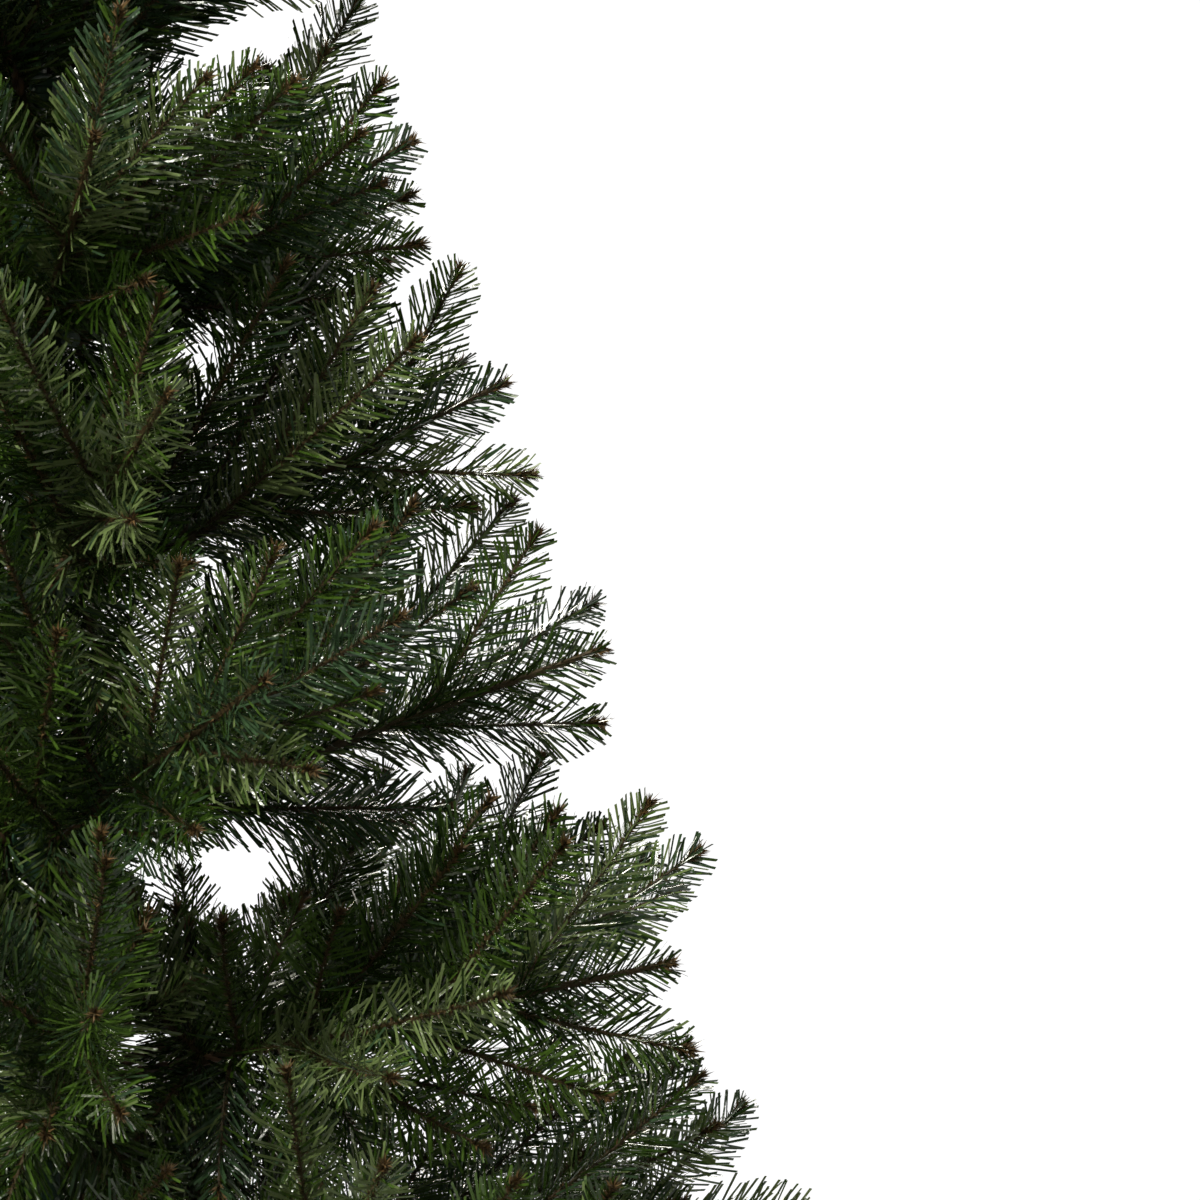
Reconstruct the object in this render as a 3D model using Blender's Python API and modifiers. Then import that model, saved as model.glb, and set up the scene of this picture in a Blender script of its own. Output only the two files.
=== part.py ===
"""An artificial Christmas tree on its four-legged steel stand.

A steel pole carries eight tiers of wire boughs covered in PVC needle sprays, and a leader on top.
Metres, +Z up. The origin is on the floor, on the pole's axis.
"""

import math
import random
from collections import namedtuple

import bmesh
import bpy
from mathutils import Matrix, Vector
from mathutils.bvhtree import BVHTree

# Whole tree
TREE_HEIGHT = 1.80
CROWN_RADIUS = 0.54
WIDEST_HEIGHT = 0.36
CROWN_SLOPE = CROWN_RADIUS / (TREE_HEIGHT - WIDEST_HEIGHT)
GAP = 0.0003

# Sides of the pole and of the socket it stands in
SIDES = 12

# Stand: a socket with a leg collar, clamping screws and four bowed legs
HUB_RADIUS = 0.0205
HUB_BOTTOM = 0.030
HUB_TOP = 0.190
HUB_FLOOR = 0.004
HUB_RIM = 0.0025
SCREW_COUNT = 3
SCREW_TURN = math.radians(15)
SCREW_HEIGHT = 0.160
SCREW_RADIUS = 0.004
SCREW_SIDES = 8
SCREW_LENGTH = 0.020
WING_RADIUS = 0.011
WING_SIDES = 10
WING_THICKNESS = 0.004
LEG_COUNT = 4
FIRST_LEG = math.radians(45)
LEG_RADIUS = 0.008
LEG_HEIGHT = 0.112
LEG_LEVEL_RUN = 0.010
LEG_STEPS = 5
LEG_COLLAR_RADIUS = 0.0265
LEG_COLLAR_HEIGHT = 0.026
FOOT_REACH = 0.275
FOOT_RADIUS = 0.014
FOOT_HEIGHT = 0.022
ANKLE_HEIGHT = 0.015

# Pole: three sections, each thinner than the one below, with a hinge collar at each tier
POLE_BOTTOM = HUB_BOTTOM + HUB_FLOOR + GAP
POLE_TOP = 1.500
SECTIONS = ((0.0160, 0.600), (0.0140, 1.080), (0.0100, POLE_TOP))
COLLAR_WIDTH = 0.009
COLLAR_HEIGHT = 0.022
COLLAR_RIM = 0.014

# Tiers, from the lowest: how many boughs, and how many degrees they rise
Tier = namedtuple("Tier", "boughs rise")
TIERS = (
    Tier(6, 4),
    Tier(6, 13),
    Tier(6, 20),
    Tier(5, 26),
    Tier(5, 31),
    Tier(4, 37),
    Tier(4, 46),
    Tier(3, 50),
)
LOWEST_TIER = 0.330
TIER_STEP = 0.165
FIRST_BOUGH = math.radians(15)
GOLDEN_ANGLE = math.radians(137.5)

# Boughs: bare wire on the lowest tiers, out to where their foliage starts
BARE_TIERS = 2
BARE_REACH = 0.115
HINGE_RUN = 0.012
BOUGH_RADIUS = 0.0048
STEM_RADIUS = 0.0042
STEM_TIP_RADIUS = 0.0020

# Space of a mass: its sector of its tier, inside the crown's outline
SPACE_MARGIN = 0.0015
OUTLINE_PLAY = 0.02
LOWEST_NEEDLE = 0.235
TOP_TIER_SPACE = 0.055

# Spray of needles: a toothed blade that thins towards its tip, with its outline as shares of its size
SPRAY_HALF_WIDTH = 0.042
TOP_HALF_WIDTH = 0.024
SPRAY_THICKNESS = 0.011
TIP_THINNING = 0.5
SPRAY_SIDE = ((0.36, 1.0), (0.42, 0.5), (0.80, 0.88))
ROOT_DEPTH = 0.004
SUNK_SHARE = 0.03
FREE_SHARE = 0.15
SHRINK = 0.91
ROLL_STEP = math.radians(65)
TRIES = 11

# Sprays of a mass: pairs to the sides with upright ones between, shorter towards the tip
LONG_SPRAY = 0.240
SHORT_SPRAY = 0.150
PAIRS = 3
FIRST_PAIR = 0.12
PAIRED_SHARE = 0.62
PAIR_STAGGER = 0.04
LENGTH_LOSS = 0.36
WIDEST_SPREAD = 48
SPREAD_LOSS = 0.3
SPREAD_PLAY = 7
LOWEST_TILT = -0.50
HIGHEST_TILT = 0.65
UPRIGHT_AFTER = 0.10
UPRIGHT_STAGGER = 0.03
UPRIGHT_FORWARD = 0.75
UPRIGHT_LENGTH = 0.66
HANGING_TIERS = 3
END_SHARE = 0.42
SHORTEST_END = 0.090
DENSE_TIER = 6

# Leader
LEADER_RINGS = 3
LEADER_RING_SPRAYS = 4
FIRST_RING = 0.030
RING_STEP = 0.044
RING_STAGGER = 0.011
RING_SHRINK = 0.16
LEADER_TIP = 0.17
LEADER_CROSSINGS = 2

# Cuts across faces that lie within this angle of each other are dissolved
FLAT_ANGLE = math.radians(0.05)

UP = Vector((0, 0, 1))


def clear_scene():
    """Removes whatever the file holds, so that only the tree is in it."""
    for obj in list(bpy.data.objects):
        bpy.data.objects.remove(obj)


def new_collection(name):
    collection = bpy.data.collections.new(name)
    bpy.context.scene.collection.children.link(collection)
    return collection


def material(name, colour, roughness, metallic=0.0):
    """A Principled material with a plain colour."""
    made = bpy.data.materials.new(name)
    made.use_nodes = True
    shader = made.node_tree.nodes["Principled BSDF"]
    shader.inputs["Base Color"].default_value = (*colour, 1.0)
    shader.inputs["Roughness"].default_value = roughness
    shader.inputs["Metallic"].default_value = metallic
    return made


def add_object(name, data, collection, finish):
    """An object in a collection, with one material."""
    obj = bpy.data.objects.new(name, data)
    data.materials.clear()
    data.materials.append(finish)
    collection.objects.link(obj)
    return obj


def outward_at(angle):
    return Vector((math.cos(angle), math.sin(angle), 0))


# Shapes


def tube_curve(name, points, radii, resolution):
    """A curve of straight runs with a round section, whose radius tapers from point to point."""
    curve = bpy.data.curves.new(name, "CURVE")
    curve.dimensions = "3D"
    curve.bevel_depth = 1.0
    curve.bevel_resolution = resolution
    curve.use_fill_caps = True
    spline = curve.splines.new("POLY")
    spline.points.add(len(points) - 1)
    for target, point, radius in zip(spline.points, points, radii):
        target.co = (*point, 1.0)
        target.radius = radius
    return curve


def mesh_of_curve(curve):
    """The closed mesh of a curve, with its caps joined to its sides."""
    guide = bpy.data.objects.new("guide", curve)
    bpy.context.scene.collection.objects.link(guide)
    bpy.context.view_layer.update()
    graph = bpy.context.evaluated_depsgraph_get()
    mesh = bpy.data.meshes.new_from_object(guide.evaluated_get(graph))
    bpy.data.objects.remove(guide)
    shape = bmesh.new()
    shape.from_mesh(mesh)
    bmesh.ops.remove_doubles(shape, verts=shape.verts, dist=1e-5)
    bmesh.ops.recalc_face_normals(shape, faces=shape.faces)
    shape.to_mesh(mesh)
    shape.free()
    return mesh


def cylinder_mesh(radius, length, matrix, sides):
    """A capped cylinder along its own Z, centred, placed by a matrix."""
    shape = bmesh.new()
    bmesh.ops.create_cone(
        shape, cap_ends=True, segments=sides, radius1=radius, radius2=radius, depth=length, matrix=matrix
    )
    mesh = bpy.data.meshes.new("cylinder")
    shape.to_mesh(mesh)
    shape.free()
    return mesh


def turned(name, profile, collection, finish):
    """A solid turned about Z from a profile at +X that runs down the outer side, top to bottom."""
    mesh = bpy.data.meshes.new(name)
    points = [(x, 0.0, z) for x, z in profile]
    mesh.from_pydata(points, [(i, i + 1) for i in range(len(points) - 1)], [])
    obj = add_object(name, mesh, collection, finish)
    screw = obj.modifiers.new("turn", "SCREW")
    screw.steps = screw.render_steps = SIDES
    screw.use_merge_vertices = True
    screw.merge_threshold = 0.0001
    screw.use_smooth_shade = True
    return obj


def clear_reach(radius, angle, width):
    """Where a tube that points outwards at an angle starts, to stand clear of a turned solid's flat sides.

    The solid has a corner at +X, and the tube's flat end reaches half its width to each side.
    """
    step = math.tau / SIDES
    from_corner = abs((angle + step / 2) % step - step / 2)
    if radius * math.sin(from_corner) <= width:
        return radius * math.cos(from_corner) + GAP
    from_middle = step / 2 - from_corner
    return (radius * math.cos(step / 2) + width * math.sin(from_middle)) / math.cos(from_middle) + GAP


def tidy_joined(mesh):
    """Drops every shell but the widest, so that no sealed hollow and no loose scrap is left.

    The cuts that a union leaves across flat faces are dissolved.
    """
    shape = bmesh.new()
    shape.from_mesh(mesh)
    waiting = set(shape.verts)
    shells = []
    while waiting:
        shell = []
        front = [waiting.pop()]
        while front:
            vertex = front.pop()
            shell.append(vertex)
            linked = {edge.other_vert(vertex) for edge in vertex.link_edges} & waiting
            waiting -= linked
            front.extend(linked)
        spans = [max(v.co[axis] for v in shell) - min(v.co[axis] for v in shell) for axis in range(3)]
        shells.append((sum(spans), len(shells), shell))
    shells.sort()
    for _, _, shell in shells[:-1]:
        bmesh.ops.delete(shape, geom=shell, context="VERTS")
    bmesh.ops.dissolve_limit(shape, angle_limit=FLAT_ANGLE, verts=shape.verts, edges=shape.edges)
    shape.to_mesh(mesh)
    shape.free()


def union(base, others):
    """Joins meshes to an object as one closed body, applies the join and removes the helpers."""
    helpers = new_collection(f"{base.name}_helpers")
    for mesh in others:
        helpers.objects.link(bpy.data.objects.new("helper", mesh))
    boolean = base.modifiers.new("join", "BOOLEAN")
    boolean.operation = "UNION"
    boolean.operand_type = "COLLECTION"
    boolean.collection = helpers
    boolean.solver = "EXACT"
    bpy.context.view_layer.update()
    graph = bpy.context.evaluated_depsgraph_get()
    joined = bpy.data.meshes.new_from_object(base.evaluated_get(graph))
    tidy_joined(joined)
    finish = base.data.materials[0]
    joined.materials.clear()
    joined.materials.append(finish)
    base.modifiers.clear()
    base.data = joined
    for obj in list(helpers.objects):
        bpy.data.objects.remove(obj)
    bpy.data.collections.remove(helpers)
    return base


# Stand and pole


def build_hub(collection, finish):
    """The stand's socket: a tube closed below, with a rim, a leg collar and winged clamping screws."""
    inner = SECTIONS[0][0] + GAP
    collar_top = LEG_HEIGHT + LEG_COLLAR_HEIGHT / 2
    collar_bottom = LEG_HEIGHT - LEG_COLLAR_HEIGHT / 2
    profile = [
        (inner, HUB_TOP),
        (HUB_RADIUS + HUB_RIM, HUB_TOP),
        (HUB_RADIUS + HUB_RIM, HUB_TOP - 2 * HUB_RIM),
        (HUB_RADIUS, HUB_TOP - 3 * HUB_RIM),
        (HUB_RADIUS, collar_top + HUB_RIM),
        (LEG_COLLAR_RADIUS, collar_top),
        (LEG_COLLAR_RADIUS, collar_bottom),
        (HUB_RADIUS, collar_bottom - HUB_RIM),
        (HUB_RADIUS, HUB_BOTTOM),
        (0.0, HUB_BOTTOM),
    ]
    inside = [(0.0, HUB_BOTTOM + HUB_FLOOR), (inner, HUB_BOTTOM + HUB_FLOOR), (inner, HUB_TOP)]
    hub = turned("stand_hub", profile + inside, collection, finish)
    shank_at = Matrix.Translation((HUB_RADIUS + SCREW_LENGTH / 2 - HUB_RIM, 0, SCREW_HEIGHT))
    wing_at = Matrix.Translation((HUB_RADIUS + SCREW_LENGTH + WING_RADIUS / 2, 0, SCREW_HEIGHT))
    screws = []
    for k in range(SCREW_COUNT):
        turn = Matrix.Rotation(k * math.tau / SCREW_COUNT + SCREW_TURN, 4, "Z")
        shank = turn @ shank_at @ Matrix.Rotation(math.pi / 2, 4, "Y")
        wing = turn @ wing_at @ Matrix.Rotation(math.pi / 2, 4, "X")
        screws.append(cylinder_mesh(SCREW_RADIUS, SCREW_LENGTH + HUB_RIM, shank, SCREW_SIDES))
        screws.append(cylinder_mesh(WING_RADIUS, WING_THICKNESS, wing, WING_SIDES))
    return union(hub, screws)


def leg_route(start):
    """A leg's centreline as (distance from the axis, height): level at first, then over and down."""
    bend = start + LEG_LEVEL_RUN
    route = [(start, LEG_HEIGHT)]
    for i in range(LEG_STEPS + 1):
        turn = i / LEG_STEPS * math.pi / 2
        reach = bend + (FOOT_REACH - bend) * math.sin(turn) ** 0.85
        route.append((reach, LEG_HEIGHT - (LEG_HEIGHT - ANKLE_HEIGHT) * (1 - math.cos(turn)) ** 0.9))
    return route


def build_leg(number, collection, finish):
    """One tubular leg with its rubber foot, which is flat underneath."""
    angle = FIRST_LEG + number * math.tau / LEG_COUNT
    outward = outward_at(angle)
    route = leg_route(clear_reach(LEG_COLLAR_RADIUS, angle, LEG_RADIUS))
    points = [outward * reach + UP * height for reach, height in route]
    leg_mesh = mesh_of_curve(tube_curve("leg", points, [LEG_RADIUS] * len(points), 2))
    leg = add_object(f"stand_leg_{number + 1}", leg_mesh, collection, finish)
    foot_at = Matrix.Translation(outward * FOOT_REACH + UP * FOOT_HEIGHT / 2)
    return union(leg, [cylinder_mesh(FOOT_RADIUS, FOOT_HEIGHT, foot_at, SIDES)])


def tier_height(index):
    """Height of a tier's hinge collar."""
    return LOWEST_TIER + TIER_STEP * index


def pole_radius(height):
    """Radius of the pole's section at a height."""
    return next(radius for radius, top in SECTIONS if height <= top)


def collar_radius(index):
    return pole_radius(tier_height(index)) + COLLAR_WIDTH


def build_pole(collection, finish):
    """The pole: each section's wall, with a bevelled collar at each tier."""
    profile = [(0.0, POLE_TOP), (SECTIONS[-1][0], POLE_TOP)]
    stops = [(tier_height(i), "collar", i) for i in range(len(TIERS))]
    stops += [(top, "step", i) for i, (_, top) in enumerate(SECTIONS[:-1])]
    for height, kind, index in sorted(stops, reverse=True):
        if kind == "step":
            profile += [(SECTIONS[index + 1][0], height), (SECTIONS[index][0], height)]
            continue
        profile += [
            (pole_radius(height), height + COLLAR_HEIGHT / 2),
            (collar_radius(index), height + COLLAR_RIM / 2),
            (collar_radius(index), height - COLLAR_RIM / 2),
            (pole_radius(height), height - COLLAR_HEIGHT / 2),
        ]
    profile += [(SECTIONS[0][0], POLE_BOTTOM), (0.0, POLE_BOTTOM)]
    return turned("pole", profile, collection, finish)


# Places in the crown


def rise_slope(index):
    return math.tan(math.radians(TIERS[index].rise))


def bough_height(index, reach):
    """Height of a tier's bough line at a distance from the axis: level out of the hinge, then rising."""
    bend = collar_radius(index) + HINGE_RUN
    return tier_height(index) + rise_slope(index) * max(0.0, reach - bend)


def tip_reach(index):
    """Distance from the axis where a tier's bough line meets the crown's outline."""
    bend = collar_radius(index) + HINGE_RUN
    slope = rise_slope(index)
    return CROWN_SLOPE * (TREE_HEIGHT - tier_height(index) + slope * bend) / (1 + CROWN_SLOPE * slope)


def azimuth(index, number):
    """Direction of a bough. Each tier is turned by the golden angle against the one below."""
    step = math.tau / TIERS[index].boughs
    return FIRST_BOUGH + (index * GOLDEN_ANGLE) % step + number * step


def on_bough(index, outward, reach):
    return outward * reach + UP * bough_height(index, reach)


def upper_limit(index, reach):
    """Height of the surface that parts a tier's space from the one above it."""
    if index + 1 < len(TIERS):
        return (bough_height(index, reach) + bough_height(index + 1, reach)) / 2
    return bough_height(index, reach) + TOP_TIER_SPACE


def lower_limit(index, reach):
    if index == 0:
        return LOWEST_NEEDLE
    return upper_limit(index - 1, reach)


def outline_reach(height):
    """How far a spray may reach from the axis at a height."""
    return CROWN_SLOPE * (TREE_HEIGHT - height) + OUTLINE_PLAY


def in_tier_space(point, index, middle):
    """Whether a point keeps to the space of the mass that points to the middle of its sector."""
    reach = math.hypot(point.x, point.y)
    inner = BARE_REACH + GAP if index < BARE_TIERS else collar_radius(index) + COLLAR_WIDTH
    off = (math.atan2(point.y, point.x) - middle + math.pi) % math.tau - math.pi
    sector = math.pi / TIERS[index].boughs - SPACE_MARGIN / max(reach, inner)
    below = lower_limit(index, reach) + SPACE_MARGIN
    above = upper_limit(index, reach) - SPACE_MARGIN
    return inner < reach <= outline_reach(point.z) and abs(off) < sector and below < point.z < above


def in_leader_space(point):
    """Whether a point is above the top tier's space and inside the crown's outline."""
    reach = math.hypot(point.x, point.y)
    above_tier = upper_limit(len(TIERS) - 1, reach) + SPACE_MARGIN
    return point.z > above_tier and reach <= outline_reach(point.z)


# Sprays of needles


def blade_mesh():
    """A spray of needles one unit long and one unit to each side: a blade with two forward teeth a side."""
    outline = [(0.0, 0.0), *SPRAY_SIDE, (1.0, 0.0)] + [(x, -y) for x, y in reversed(SPRAY_SIDE)]
    curve = bpy.data.curves.new("spray", "CURVE")
    curve.dimensions = "2D"
    curve.fill_mode = "BOTH"
    curve.extrude = SPRAY_THICKNESS / 2
    spline = curve.splines.new("POLY")
    spline.points.add(len(outline) - 1)
    for target, (x, y) in zip(spline.points, outline):
        target.co = (x, y, 0.0, 1.0)
    spline.use_cyclic_u = True
    blade = mesh_of_curve(curve)
    for vertex in blade.vertices:
        vertex.co.z *= 1 - TIP_THINNING * vertex.co.x
    return blade


def placement(root, direction, roll, length, half):
    """Matrix that lays a blade from its root along a direction, turned about it by a roll."""
    forward = direction.normalized()
    across = UP.cross(forward)
    if across.length < 0.05:
        across = Vector((1, 0, 0)).cross(forward)
    across = Matrix.Rotation(roll, 3, forward) @ across.normalized()
    turn = Matrix((forward, across, forward.cross(across))).transposed().to_4x4()
    size = Matrix.Diagonal((length + ROOT_DEPTH, half, half / SPRAY_HALF_WIDTH, 1))
    return Matrix.Translation(root - forward * ROOT_DEPTH) @ turn @ size


def outer_corners(blade, matrix, root_share):
    """The blade's corners in its place, with its root cut back by a share of its length."""
    return [matrix @ Vector((max(v.co.x, root_share), v.co.y, v.co.z)) for v in blade.vertices]


def surface_tree(blade, matrix):
    """A search tree of a placed blade's faces, for finding what they cross."""
    corners = outer_corners(blade, matrix, SUNK_SHARE)
    return BVHTree.FromPolygons(corners, [tuple(face.vertices) for face in blade.polygons])


def place_spray(sprays, blade, matrix):
    """Adds a copy of the blade in its place."""
    spray = blade.copy()
    spray.transform(matrix)
    sprays.append((spray, surface_tree(blade, matrix)))


def fit_spray(sprays, blade, root, direction, roll, length, half, in_space, crossings):
    """Adds a blade, turned and shortened until it keeps to its space and crosses few others."""
    for _ in range(TRIES):
        matrix = placement(root, direction, roll, length, half)
        corners = outer_corners(blade, matrix, FREE_SHARE)
        middles = [(corners[a] + corners[b]) / 2 for a, b in (edge.vertices for edge in blade.edges)]
        if all(in_space(point) for point in corners + middles):
            surface = surface_tree(blade, matrix)
            if sum(bool(surface.overlap(other)) for _, other in sprays) <= crossings:
                place_spray(sprays, blade, matrix)
                return
        roll += ROLL_STEP
        length *= SHRINK


def fullness(index):
    """1 at the lowest tier and towards 0 at the top."""
    return 1 - index / len(TIERS)


def half_width(index):
    return TOP_HALF_WIDTH + (SPRAY_HALF_WIDTH - TOP_HALF_WIDTH) * fullness(index) ** 0.5


def shoot_plan(index, rule):
    """The sprays of one mass from the pole outwards, as (share of the stem, aim, roll, length).

    An aim has its parts along the stem, to its side and above it.
    """
    pairs = PAIRS if index < len(TIERS) - 1 else PAIRS - 1
    middle_spread = WIDEST_SPREAD - SPREAD_LOSS * TIERS[index].rise
    longest = SHORT_SPRAY + (LONG_SPRAY - SHORT_SPRAY) * fullness(index)
    for k in range(pairs):
        share = FIRST_PAIR + PAIRED_SHARE * k / pairs
        length = longest * (1 - LENGTH_LOSS * k / pairs)
        for side in (-1, 1):
            spread = math.radians(middle_spread + rule.uniform(-SPREAD_PLAY, SPREAD_PLAY))
            aim = (math.cos(spread), side * math.sin(spread), rule.uniform(LOWEST_TILT, HIGHEST_TILT))
            roll = math.radians(rule.choice((-1, 1)) * rule.uniform(20, 75))
            yield share + PAIR_STAGGER * side, aim, roll, length
        for vertical in (-1, 1):
            aim = (UPRIGHT_FORWARD, rule.uniform(-0.3, 0.3), vertical * rule.uniform(0.55, 0.85))
            roll = math.radians(rule.uniform(-50, 50))
            if vertical > 0 or k == 0 or index < HANGING_TIERS:
                yield share + UPRIGHT_AFTER + UPRIGHT_STAGGER * vertical, aim, roll, UPRIGHT_LENGTH * length


# Boughs and foliage


def build_bough(index, number, collection, finish):
    """The bare inner run of a bough: a wire that tapers from its hinge to where the foliage starts."""
    angle = azimuth(index, number)
    outward = outward_at(angle)
    hinge = clear_reach(collar_radius(index), angle, BOUGH_RADIUS)
    points = [on_bough(index, outward, reach) for reach in (hinge, hinge + HINGE_RUN, BARE_REACH)]
    radii = (BOUGH_RADIUS, BOUGH_RADIUS, STEM_RADIUS)
    curve = tube_curve(f"bough_{index + 1}_{number + 1}", points, radii, 1)
    return add_object(curve.name, curve, collection, finish)


def build_mass(index, number, blade, collection, finish):
    """One bough's foliage: a stem with side sprays in pairs, upright ones between, and one at its tip."""
    alike = TIERS[0].boughs // 2
    rule = random.Random(100 * index + (number % alike if index == 0 else number))
    angle = azimuth(index, number)
    outward = outward_at(angle)
    lateral = UP.cross(outward)
    forward = (outward + UP * rise_slope(index)).normalized()
    upward = forward.cross(lateral)
    start = BARE_REACH + GAP
    if index >= BARE_TIERS:
        start = clear_reach(collar_radius(index), angle, STEM_RADIUS)
    tip = tip_reach(index)
    reaches = [start, start + HINGE_RUN, start + (tip - start) * (1 - END_SHARE / 2)]
    if index < BARE_TIERS:
        reaches.pop(1)
    points = [on_bough(index, outward, reach) for reach in reaches]
    radii = [STEM_RADIUS] * (len(points) - 1) + [STEM_TIP_RADIUS]
    stem = mesh_of_curve(tube_curve("stem", points, radii, 0))
    mass = add_object(f"foliage_{index + 1}_{number + 1}", stem, collection, finish)

    def in_space(point):
        return in_tier_space(point, index, angle)

    half = half_width(index)
    span = (tip - start) / forward.dot(outward)
    end_length = max(END_SHARE * span, min(SHORTEST_END, 0.9 * span))
    end_root = on_bough(index, outward, tip) - forward * end_length
    end_roll = math.radians(rule.choice((-1, 1)) * rule.uniform(15, 60))
    sprays = []
    place_spray(sprays, blade, placement(end_root, forward, end_roll, end_length, half))
    crossings = 1 if index >= DENSE_TIER else 0
    for share, aim, roll, length in shoot_plan(index, rule):
        root = on_bough(index, outward, start + (tip - start) * share)
        direction = forward * aim[0] + lateral * aim[1] + upward * aim[2]
        fit_spray(sprays, blade, root, direction, roll, length, half, in_space, crossings)
    return union(mass, [spray for spray, _ in sprays])


def build_leader(blade, collection, finish):
    """The top of the tree: an upright stem with rings of rising sprays and two crossed ones at its tip."""
    rule = random.Random(900)
    start = POLE_TOP + GAP
    points = [UP * start, UP * (TREE_HEIGHT - LEADER_TIP / 2)]
    stem = mesh_of_curve(tube_curve("leader_stem", points, (STEM_RADIUS, STEM_TIP_RADIUS), 0))
    leader = add_object("foliage_leader", stem, collection, finish)
    half = TOP_HALF_WIDTH
    sprays = []
    for drop, roll in ((0.0, 0.2), (0.009, 0.2 + math.pi / 2)):
        root = UP * (TREE_HEIGHT - LEADER_TIP - drop)
        place_spray(sprays, blade, placement(root, UP, roll, LEADER_TIP, half))
    for ring in range(LEADER_RINGS):
        for k in range(LEADER_RING_SPRAYS):
            angle = math.tau * (k + 0.5 * ring) / LEADER_RING_SPRAYS + rule.uniform(-0.2, 0.2)
            rise = math.radians(rule.uniform(54, 64))
            aim = outward_at(angle) * math.cos(rise) + UP * math.sin(rise)
            root = UP * (start + FIRST_RING + RING_STEP * ring + RING_STAGGER * k)
            length = SHORT_SPRAY * (0.95 - RING_SHRINK * ring)
            roll = math.radians(rule.uniform(-25, 25))
            fit_spray(sprays, blade, root, aim, roll, length, half, in_leader_space, LEADER_CROSSINGS)
    return union(leader, [spray for spray, _ in sprays])


def main():
    clear_scene()
    tree = new_collection("christmas_tree")
    steel = material("dark_green_steel", (0.012, 0.040, 0.022), 0.42, 0.2)
    wire = material("brown_wire", (0.075, 0.042, 0.018), 0.60)
    needles = material("green_needles", (0.020, 0.062, 0.022), 0.42)
    build_pole(tree, steel)
    build_hub(tree, steel)
    for number in range(LEG_COUNT):
        build_leg(number, tree, steel)
    blade = blade_mesh()
    for index, tier in enumerate(TIERS):
        for number in range(tier.boughs):
            if index < BARE_TIERS:
                build_bough(index, number, tree, wire)
            build_mass(index, number, blade, tree, needles)
    build_leader(blade, tree, needles)


main()
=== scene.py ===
"""The looks of an artificial Christmas tree: PVC needle sprays on wire boughs, a steel pole and its stand.

Metres, +Z up. The crown grows by the same seeded rule as the solids, carried on to single needles.
"""

import math
import random
from collections import namedtuple

import bpy
import numpy as np
from mathutils import Matrix, Vector


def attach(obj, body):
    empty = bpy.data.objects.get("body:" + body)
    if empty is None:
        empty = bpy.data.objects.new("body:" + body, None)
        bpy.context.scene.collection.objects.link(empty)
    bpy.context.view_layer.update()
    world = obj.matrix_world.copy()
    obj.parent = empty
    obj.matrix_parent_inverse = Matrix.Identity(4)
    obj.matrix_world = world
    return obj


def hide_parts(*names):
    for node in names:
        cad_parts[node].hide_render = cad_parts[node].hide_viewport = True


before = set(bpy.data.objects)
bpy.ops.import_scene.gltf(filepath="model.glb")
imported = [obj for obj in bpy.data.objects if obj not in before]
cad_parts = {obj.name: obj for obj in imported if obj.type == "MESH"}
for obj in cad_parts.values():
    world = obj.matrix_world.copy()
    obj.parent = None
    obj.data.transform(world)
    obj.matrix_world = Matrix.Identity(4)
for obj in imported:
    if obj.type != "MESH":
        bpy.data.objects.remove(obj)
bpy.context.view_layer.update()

# Whole tree
TREE_HEIGHT = 1.80
CROWN_RADIUS = 0.54
WIDEST_HEIGHT = 0.36
CROWN_SLOPE = CROWN_RADIUS / (TREE_HEIGHT - WIDEST_HEIGHT)

# The gap between neighbouring parts, and the bevel of turned edges
GAP = 0.0003
EDGE = 0.001

# Stand
HUB_RADIUS = 0.0205
HUB_BORE = 0.0163
HUB_BOTTOM = 0.030
HUB_TOP = 0.190
HUB_FLOOR = 0.004
HUB_RIM = 0.0025
NUT_PROFILE = ((0.0, -0.001), (0.0070, -0.001), (0.0070, 0.0042), (0.0064, 0.005), (0.0, 0.005))
SCREW_COUNT = 3
SCREW_TURN = math.radians(15)
SCREW_HEIGHT = 0.160
SCREW_RADIUS = 0.004
SCREW_LENGTH = 0.020
THREAD_DEPTH = 0.0008
WING_RADIUS = 0.011
WING_WAIST = 0.72
WING_THICKNESS = 0.0034
LEG_COUNT = 4
FIRST_LEG = math.radians(45)
LEG_RADIUS = 0.008
LEG_HEIGHT = 0.112
LEG_LEVEL_RUN = 0.010
LEG_COLLAR_RADIUS = 0.0265
LEG_COLLAR_HEIGHT = 0.026
FOOT_REACH = 0.275
FOOT_RADIUS = 0.014
FOOT_HEIGHT = 0.022
FOOT_RIBS = 4
FIRST_RIB = 0.0030
RIB_STEP = 0.0040
RIB_DEPTH = 0.0008
RIB_EDGE = 0.0008
ANKLE_HEIGHT = 0.015

# Pole
POLE_BOTTOM = HUB_BOTTOM + HUB_FLOOR + GAP
POLE_TOP = 1.500
SECTIONS = ((0.0160, 0.600), (0.0140, 1.080), (0.0100, POLE_TOP))
FLARE = 0.0006
FLARE_RUN = 0.030
FLARE_FULL = 0.027
COLLAR_WIDTH = 0.009
COLLAR_HEIGHT = 0.022
COLLAR_RIM = 0.014

# Tiers, from the lowest: how many boughs, and how many degrees they rise
Tier = namedtuple("Tier", "boughs rise")
TIERS = (
    Tier(6, 4),
    Tier(6, 13),
    Tier(6, 20),
    Tier(5, 26),
    Tier(5, 31),
    Tier(4, 37),
    Tier(4, 46),
    Tier(3, 50),
)
LOWEST_TIER = 0.330
TIER_STEP = 0.165
FIRST_BOUGH = math.radians(15)
GOLDEN_ANGLE = math.radians(137.5)

# Boughs
BARE_TIERS = 2
BARE_REACH = 0.115
HINGE_RUN = 0.012
BOUGH_RADIUS = 0.0048
STEM_RADIUS = 0.0042
STEM_TIP_RADIUS = 0.0020

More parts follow.
